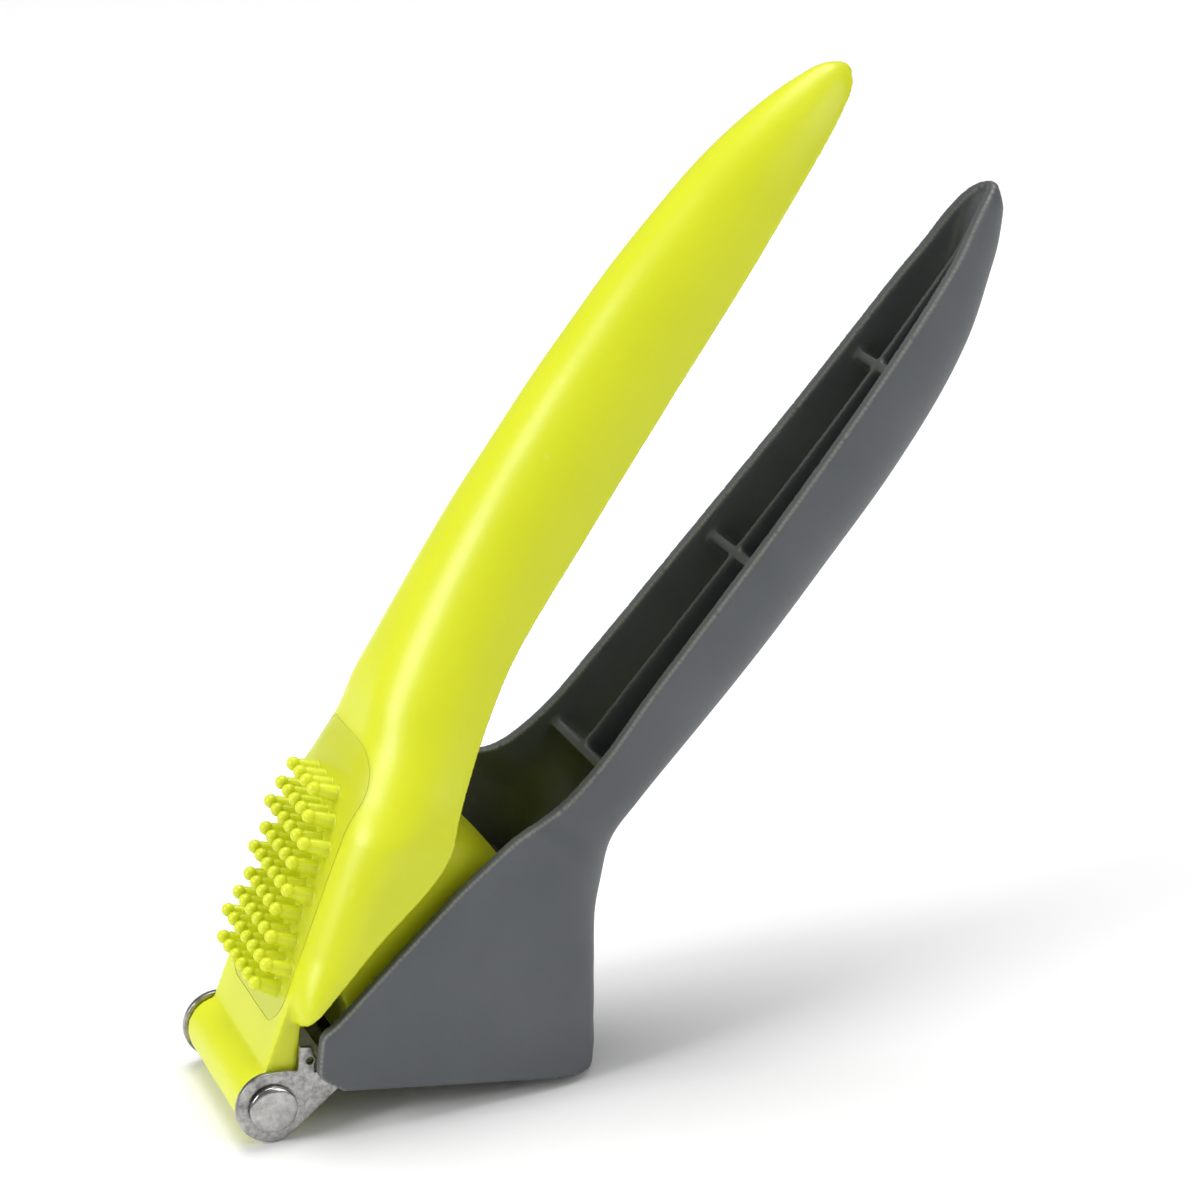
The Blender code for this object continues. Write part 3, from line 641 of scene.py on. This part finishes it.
def cone_profile():
    """A blunt pin: flared foot, slight taper and a round tip, as (radius, lift)."""
    foot = CONE_BASE + CONE_FLARE
    profile = [(foot, PAD_LIFT - 0.3), (foot, PAD_LIFT - 0.02)]
    for k in range(1, 6):
        angle = pi / 2 * k / 5
        profile.append((foot - CONE_FLARE * sin(angle), PAD_LIFT + CONE_FLARE * (1 - cos(angle))))
    profile.append((CONE_TIP * 0.98, PIN_TIP_LIFT - CONE_TIP * 1.9))
    for k in range(-3, 8):
        angle = pi / 2 * k / 8
        profile.append((CONE_TIP * cos(angle), PIN_TIP_LIFT - CONE_TIP + CONE_TIP * sin(angle)))
    return profile + [(0.05, PIN_TIP_LIFT)]


def cleaning_pad(material):
    """The pad with its pins, and a skirt just under its face that hides the gap round it."""
    plate = pad_plate("cleaning_pad", 0.0, 0.0)
    skirt = pad_plate("pad_skirt", SKIRT_MARGIN, SKIRT_INSET)
    bm = bmesh.new()
    bm.from_mesh(plate.data)
    bm.from_mesh(skirt.data)
    bpy.data.objects.remove(skirt)
    out = Vector(pad_point(0.0, 1.0))
    for run, y in row_places():
        lathe(bm, cone_profile(), seat(pad_point(run, 0.0, y), out), 20)
    bm.to_mesh(plate.data)
    bm.free()
    return finish_piece(plate, material, "upper_body", ["cleaner_pad"])


def turned(x, z):
    """The x and z, in this pose, of a point given as it lies in the closed press."""
    angle = radians(CLOSE_DEG)
    return (x * cos(angle) - z * sin(angle), x * sin(angle) + z * cos(angle))


def lime_plunger(material):
    """The wedge under the handle: flat face over the sieve, rear wall on an arc about the pin."""
    top = WEB_LIFT[0] - GAP
    ends = (
        (*turned(12.4, 7.0), *turned(49.4, 7.0)),
        (*turned(12.9, 11.0), *turned(46.7, 19.4)),
        (*turned(12.2, 14.8), *turned(40.4, 31.6)),
        (*turned(10.6, 17.0), *turned(30.6, 41.6)),
        (*flat(pad_point(18.0, top)), *flat(pad_point(51.4, top))),
    )
    rows = [(*pair, PLUNGER_HALF, PLUNGER_CORNER, PLUNGER_POWER, 0.0) for pair in ends]
    bm = bmesh.new()
    block(bm, fair(rows, INNER_SPACING), 0.0, INNER_ARCH)
    piece = soften(made("lime_plunger", bm), PLUNGER_VOXEL, PLUNGER_ROUNDS)
    return finish_piece(piece, material, "upper_body", ["plunger"])


# ---------------------------------------------------------------- steel

def plate_outline():
    """Side view of a hinge plate: ear, strap, small tab and the part that lies along the basket."""
    ear = []
    for k in range(CIRCLE_STEPS + 1):
        angle = radians(90 + k * 210 / CIRCLE_STEPS)
        ear.append((EAR_EDGE * cos(angle), EAR_EDGE * sin(angle)))
    low = BASE_Z + GAP + 0.1
    inside = [(11.6, low), (40.0, low), (40.0, 9.0), (30.0, 20.0), (14.0, 15.5), (8.0, 9.0), (7.3, 5.6)]
    tab = [(6.3, 5.6), (6.3, 8.0), (5.6, 9.6), (3.7, 9.6), (3.7, 5.7), (2.2, 5.9)]
    return ear + inside + tab


def hinge_plate(name, side, material):
    """A stamped plate with rolled edges, a bore and a small hole in its tab."""
    y0, y1 = sorted((side * PLATE_INNER, side * PLATE_OUTER))
    bm = bmesh.new()
    prism(bm, plate_outline(), y0, y1)
    piece = made(name, bm)
    for x, z, radius in ((0.0, 0.0, BORE_RADIUS), TAB_HOLE):
        cut = bmesh.new()
        rod(cut, (x, y0 - 1, z), (x, y1 + 1, z), radius)
        combine(piece, made("hole", cut), "DIFFERENCE")
    roll = piece.modifiers.new("roll", "BEVEL")
    roll.width = PLATE_ROLL
    roll.segments = 5
    roll.limit_method = "ANGLE"
    roll.angle_limit = radians(50)
    settle_modifiers(piece)
    node = "near_hinge_plate" if side < 0 else "far_hinge_plate"
    return finish_piece(piece, material, "lower_body", [node], sharp=60)


def pin_profile():
    """A plain shank between two domed heads, as (radius, y) from one end to the middle."""
    face = PLATE_OUTER + GAP
    lip = face + HEAD_LIP
    rise = HEAD_HEIGHT - HEAD_LIP
    dome = [(0.05, face + HEAD_HEIGHT)]
    for k in range(1, DOME_STEPS + 1):
        angle = pi / 2 * k / DOME_STEPS
        dome.append((HEAD_RADIUS * sin(angle) ** 0.9, lip + rise * cos(angle) ** 0.8))
    return dome + [(HEAD_RADIUS, face), (PIN_RADIUS, face)]


def steel_pin(material):
    half = pin_profile()
    full = half + [(radius, -y) for radius, y in reversed(half)]
    bm = bmesh.new()
    lathe(bm, full, seat((0, 0, 0), (0, 1, 0)), 64)
    return finish_piece(made("steel_pin", bm), material, "lower_body", ["hinge_pin"])


def oblong(x0, x1, z0, z1):
    """The outline of an upright rectangle, for a prism."""
    return (x0, z0), (x1, z0), (x1, z1), (x0, z1)


def steel_basket(material):
    """Thin walls fanned to the plunger's swing, a low front wall, ledges and the tongue on its shelf."""
    tongue_low = SHELF_TOP + GAP
    tongue_high = tongue_low + BASKET_WALL
    ends = (
        (BASKET_FRONT, BASKET_FLOOR, BASKET_REAR, BASKET_FLOOR),
        (BASKET_FRONT, 8.2, BASKET_REAR, 7.8),
        (10.6, 11.6, 50.8, 10.8),
        (15.4, 18.0, 49.2, 17.5),
        (20.5, 24.6, 46.4, 25.0),
        (26.0, 30.6, 43.2, tongue_high),
    )
    rows = [(*pair, BASKET_HALF, BASKET_CORNER, BASKET_POWER, 0.0) for pair in ends]
    bm = bmesh.new()
    channel(bm, fair(rows, INNER_SPACING), BASKET_WALL, INNER_ARCH, False)
    inner = BASKET_HALF - BASKET_WALL
    into_wall = inner + 0.3
    prism(bm, oblong(BASKET_FRONT, BASKET_FRONT + BASKET_WALL, BASKET_FLOOR, 8.6), -into_wall, into_wall)
    ledge = oblong(BASKET_FRONT + 0.1, BASKET_LEDGE_END, BASKET_FLOOR, SIEVE_BOTTOM - GAP)
    prism(bm, ledge, -into_wall, -inner + 1.0)
    prism(bm, ledge, inner - 1.0, into_wall)
    prism(bm, oblong(TONGUE_START, TONGUE_END, tongue_low, tongue_high), -TONGUE_HALF, TONGUE_HALF)
    return finish_piece(made("steel_basket", bm), material, "lower_body", ["basket"])


def steel_sieve(material):
    """A flat plate inside the basket, with a hole for every cleaning pin."""
    rear = BASKET_REAR - BASKET_WALL - GAP
    front = BASKET_FRONT + BASKET_WALL + GAP
    corner = BASKET_CORNER - BASKET_WALL - GAP
    faces = (SIEVE_BOTTOM, SIEVE_BOTTOM + SIEVE_THICK)
    bm = bmesh.new()
    rows = [(front, z, rear, z, SIEVE_HALF, corner, BASKET_POWER, 0.0) for z in faces]
    block(bm, rows, 0.0, INNER_ARCH)
    piece = made("steel_sieve", bm)
    cut = bmesh.new()
    for run, y in row_places():
        x = run + SIEVE_HOLE_SHIFT
        rod(cut, (x, y, SIEVE_BOTTOM - 1), (x, y, SIEVE_BOTTOM + 2), SIEVE_HOLE_RADIUS, 24)
    combine(piece, made("sieve_holes", cut), "DIFFERENCE")
    return finish_piece(piece, material, "lower_body", ["sieve_plate"])


def basket_screw(number, y, material):
    """A pan head screw with a cross recess, drawn as (radius, height above the tongue)."""
    place = seat((BASKET_SCREW_X, y, SHELF_TOP + GAP + BASKET_WALL + GAP), (0, 0, 1))
    shank = [(0.5, -3.2), (1.0, -2.8), (1.0, 0.0)]
    head = [(1.9, 0.0), (1.9, 0.55), (1.7, 0.9), (1.2, 1.15), (0.1, 1.2)]
    bm = bmesh.new()
    lathe(bm, shank + head, place, 32)
    piece = made(f"cross_screw_{number}", bm)
    for turn in (20, 110):
        spin = Matrix.Rotation(radians(turn), 4, "Z") @ Matrix.Translation((0, 0, 1.1))
        cut = bmesh.new()
        bmesh.ops.create_cube(cut, size=1.0, matrix=place @ spin @ Matrix.Diagonal((1.9, 0.4, 1.3, 1.0)))
        combine(piece, made("slot", cut), "DIFFERENCE")
    return finish_piece(piece, material, "lower_body", [f"basket_screw_{number}"])


# ---------------------------------------------------------------- materials

class Nodes:
    """Short names for building a node tree around a Principled shader."""

    def __init__(self, name):
        self.material = bpy.data.materials.new(name)
        self.material.use_nodes = True
        self.tree = self.material.node_tree
        self.shader = self.tree.nodes["Principled BSDF"]
        self.coords = self.add("ShaderNodeTexCoord").outputs["Object"]

    def add(self, kind, **settings):
        node = self.tree.nodes.new(kind)
        for key, value in settings.items():
            setattr(node, key, value)
        return node

    def link(self, out, socket):
        self.tree.links.new(out, socket)

    def noise(self, scale, detail, stretch=(1.0, 1.0, 1.0), roughness=0.5):
        """Noise from 0 to 1, its scale in cells to the metre."""
        place = self.add("ShaderNodeMapping")
        place.inputs["Scale"].default_value = stretch
        self.link(self.coords, place.inputs["Vector"])
        node = self.add("ShaderNodeTexNoise")
        node.inputs["Scale"].default_value = scale
        node.inputs["Detail"].default_value = detail
        node.inputs["Roughness"].default_value = roughness
        self.link(place.outputs["Vector"], node.inputs["Vector"])
        return node.outputs["Fac"]

    def ramp(self, value, stops):
        """Colours or grey values along 0 to 1."""
        node = self.add("ShaderNodeValToRGB")
        points = node.color_ramp.elements
        while len(points) < len(stops):
            points.new(0.5)
        for point, (at, colour) in zip(points, stops):
            point.position = at
            point.color = (*colour, 1.0) if isinstance(colour, tuple) else (colour, colour, colour, 1.0)
        self.link(value, node.inputs["Fac"])
        return node.outputs["Color"]

    def mix(self, share, one, two):
        """Blends two colours, each a tuple or a node's output."""
        node = self.add("ShaderNodeMix", data_type="RGBA")
        for socket, value in ((node.inputs[0], share), (node.inputs[6], one), (node.inputs[7], two)):
            if isinstance(value, (int, float)):
                socket.default_value = value
            elif isinstance(value, tuple):
                socket.default_value = (*value, 1.0)
            else:
                self.link(value, socket)
        return node.outputs[2]

    def bump(self, heights):
        """Chains bumps of (height, strength, distance) into the shader's normal."""
        normal = None
        for height, strength, distance in heights:
            node = self.add("ShaderNodeBump")
            node.inputs["Strength"].default_value = strength
            node.inputs["Distance"].default_value = distance
            self.link(height, node.inputs["Height"])
            if normal:
                self.link(normal, node.inputs["Normal"])
            normal = node.outputs["Normal"]
        self.link(normal, self.shader.inputs["Normal"])


def lime_plastic():
    """Satin moulding with a faint cloudiness and a painted highlight that pales its edges."""
    made_of = Nodes("lime_plastic_satin")
    shader = made_of.shader.inputs
    cloud = made_of.noise(45.0, 2.0)
    colour = made_of.ramp(cloud, ((0.3, (0.640, 0.690, 0.012)), (0.7, (0.675, 0.725, 0.016))))
    # painted highlight: sharp edges, found by pointiness, are paled towards whitish lime
    edge = made_of.add("ShaderNodeNewGeometry").outputs["Pointiness"]
    rim = made_of.ramp(edge, ((0.52, 0.0), (0.60, 0.35)))
    colour = made_of.mix(rim, colour, (0.70, 0.78, 0.09))
    made_of.link(colour, shader["Base Color"])
    grain = made_of.noise(3800.0, 2.0)
    made_of.link(made_of.ramp(grain, ((0.3, 0.33), (0.7, 0.41))), shader["Roughness"])
    shader["Specular IOR Level"].default_value = 0.5
    shader["Subsurface Weight"].default_value = 0.3
    shader["Subsurface Radius"].default_value = (1.0, 0.9, 0.1)
    shader["Subsurface Scale"].default_value = 0.002
    made_of.bump(((grain, 0.10, 0.00008), (made_of.noise(260.0, 2.0), 0.04, 0.0004)))
    return made_of.material


def grey_plastic():
    """Matt moulding, lightened by a painted highlight along the rim corners that the mesh marks."""
    made_of = Nodes("grey_plastic_matt")
    shader = made_of.shader.inputs
    cloud = made_of.noise(60.0, 3.0)
    colour = made_of.ramp(cloud, ((0.3, (0.080, 0.088, 0.095)), (0.7, (0.100, 0.108, 0.115))))
    # painted highlight: rim corners are lightened towards pale grey
    rim_highlight = made_of.add("ShaderNodeAttribute", attribute_name="rim_highlight").outputs["Fac"]
    rim = made_of.ramp(rim_highlight, ((0.35, 0.0), (0.95, 0.75)))
    colour = made_of.mix(rim, colour, (0.25, 0.25, 0.22))
    made_of.link(colour, shader["Base Color"])
    grain = made_of.noise(3200.0, 3.0)
    made_of.link(made_of.ramp(grain, ((0.3, 0.46), (0.7, 0.58))), shader["Roughness"])
    made_of.bump(((grain, 0.22, 0.00012), (made_of.noise(220.0, 2.0), 0.05, 0.0004)))
    return made_of.material


def worn_steel(name, polish):
    """Steel with soft mottling and lengthwise scratches; polish evens the colour and smooths the surface."""
    made_of = Nodes(name)
    shader = made_of.shader.inputs
    shader["Metallic"].default_value = 1.0
    mottle = made_of.noise(650.0, 6.0, roughness=0.7)
    dark, light = 0.22 + 0.14 * polish, 0.50
    dark_warm = (dark, dark * 0.98, dark * 0.96)
    light_warm = (light, light * 0.985, light * 0.96)
    made_of.link(made_of.ramp(mottle, ((0.36, dark_warm), (0.62, light_warm))), shader["Base Color"])
    scratch = made_of.noise(900.0, 4.0, stretch=(0.12, 1.0, 1.0), roughness=0.65)
    rough = made_of.ramp(scratch, ((0.3, 0.26 - 0.12 * polish), (0.7, 0.44 - 0.22 * polish)))
    made_of.link(rough, shader["Roughness"])
    made_of.bump(((scratch, 0.25 * (1 - polish) + 0.05, 0.0001),
                  (made_of.noise(600.0, 4.0), 0.55 * (1 - polish) + 0.06, 0.0003)))
    return made_of.material


def studio_floor():
    made_of = Nodes("white_floor")
    shade = made_of.ramp(made_of.noise(3.0, 2.0), ((0.3, 0.90), (0.7, 0.92)))
    made_of.link(shade, made_of.shader.inputs["Base Color"])
    made_of.shader.inputs["Roughness"].default_value = 0.8
    return made_of.material


# ---------------------------------------------------------------- studio

CAMERA_AT = (-162.08, -557.90, 247.87)
CAMERA_RIGHT = (0.93861, -0.33399, 0.08637)
CAMERA_DOWN = (-0.01542, -0.29073, -0.95668)
CAMERA_LENS = 120.0
SKY_STRENGTH = 0.22
FLOOR_SIZE = 9000.0
FLOOR_DROP = 0.0002
LIGHT_AIM = (0.0, 0.0, 0.07)

# lights: where each stands, its side length and its power
LIGHTS = {
    "front": ((1.15, -1.65, 1.15), 1.4, 15.5),
    "crown": ((-2.1, -0.15, 1.25), 1.0, 36.0),
    "overhead": ((0.3, 0.5, 2.4), 1.6, 46.0),
}


def camera():
    """The photographer's view, in the hinge frame."""
    right = Vector(CAMERA_RIGHT).normalized()
    up = -Vector(CAMERA_DOWN).normalized()
    back = right.cross(up)
    turn = Matrix((right, up, back)).transposed().to_4x4()
    data = bpy.data.cameras.new("camera")
    data.lens = CAMERA_LENS
    data.sensor_width = 36.0
    data.clip_start = 0.01
    view = bpy.data.objects.new("camera", data)
    view.matrix_world = STAND @ Matrix.Translation(Vector(CAMERA_AT) * 0.001) @ turn
    bpy.context.scene.collection.objects.link(view)
    bpy.context.scene.camera = view


def area_light(name, at, size, power):
    """A square white light turned towards the press."""
    data = bpy.data.lights.new(name, "AREA")
    data.shape = "RECTANGLE"
    data.size = data.size_y = size
    data.energy = power
    lamp = bpy.data.objects.new(name, data)
    lamp.location = at
    lamp.rotation_euler = (Vector(LIGHT_AIM) - Vector(at)).to_track_quat("-Z", "Y").to_euler()
    bpy.context.scene.collection.objects.link(lamp)


def studio():
    """White surroundings, a white floor and the lights."""
    world = bpy.data.worlds.new("studio")
    bpy.context.scene.world = world
    world.use_nodes = True
    sky = world.node_tree.nodes["Background"]
    sky.inputs["Color"].default_value = (1.0, 1.0, 1.0, 1.0)
    sky.inputs["Strength"].default_value = SKY_STRENGTH
    bm = bmesh.new()
    bmesh.ops.create_grid(bm, x_segments=8, y_segments=8, size=FLOOR_SIZE)
    floor = made("floor", bm)
    floor.data.transform(Matrix.Scale(0.001, 4))
    floor.location.z = -FLOOR_DROP
    floor.data.materials.append(studio_floor())
    bpy.context.scene.view_settings.view_transform = "Standard"
    for name, settings in LIGHTS.items():
        area_light(name, *settings)


def finish_cad_fasteners(material):
    """Gives the rivets and plunger screws, which stay the CAD solids, the steel look."""
    for name, node in frame["nodes"].items():
        if name.startswith(("plate_rivet", "plunger_screw")):
            for slot in node.material_slots:
                slot.material = material


def main():
    lime = lime_plastic()
    grey = grey_plastic()
    steel = worn_steel("stamped_steel", 0.0)
    bright = worn_steel("bright_steel", 0.8)
    grey_handle(grey)
    lime_handle(lime)
    cleaning_pad(lime)
    lime_plunger(lime)
    hinge_plate("near_ear", -1, steel)
    hinge_plate("far_ear", 1, steel)
    steel_pin(bright)
    steel_basket(bright)
    steel_sieve(bright)
    for number, y in enumerate((-BASKET_SCREW_Y, BASKET_SCREW_Y), 1):
        basket_screw(number, y, bright)
    finish_cad_fasteners(steel)
    camera()
    studio()


main()
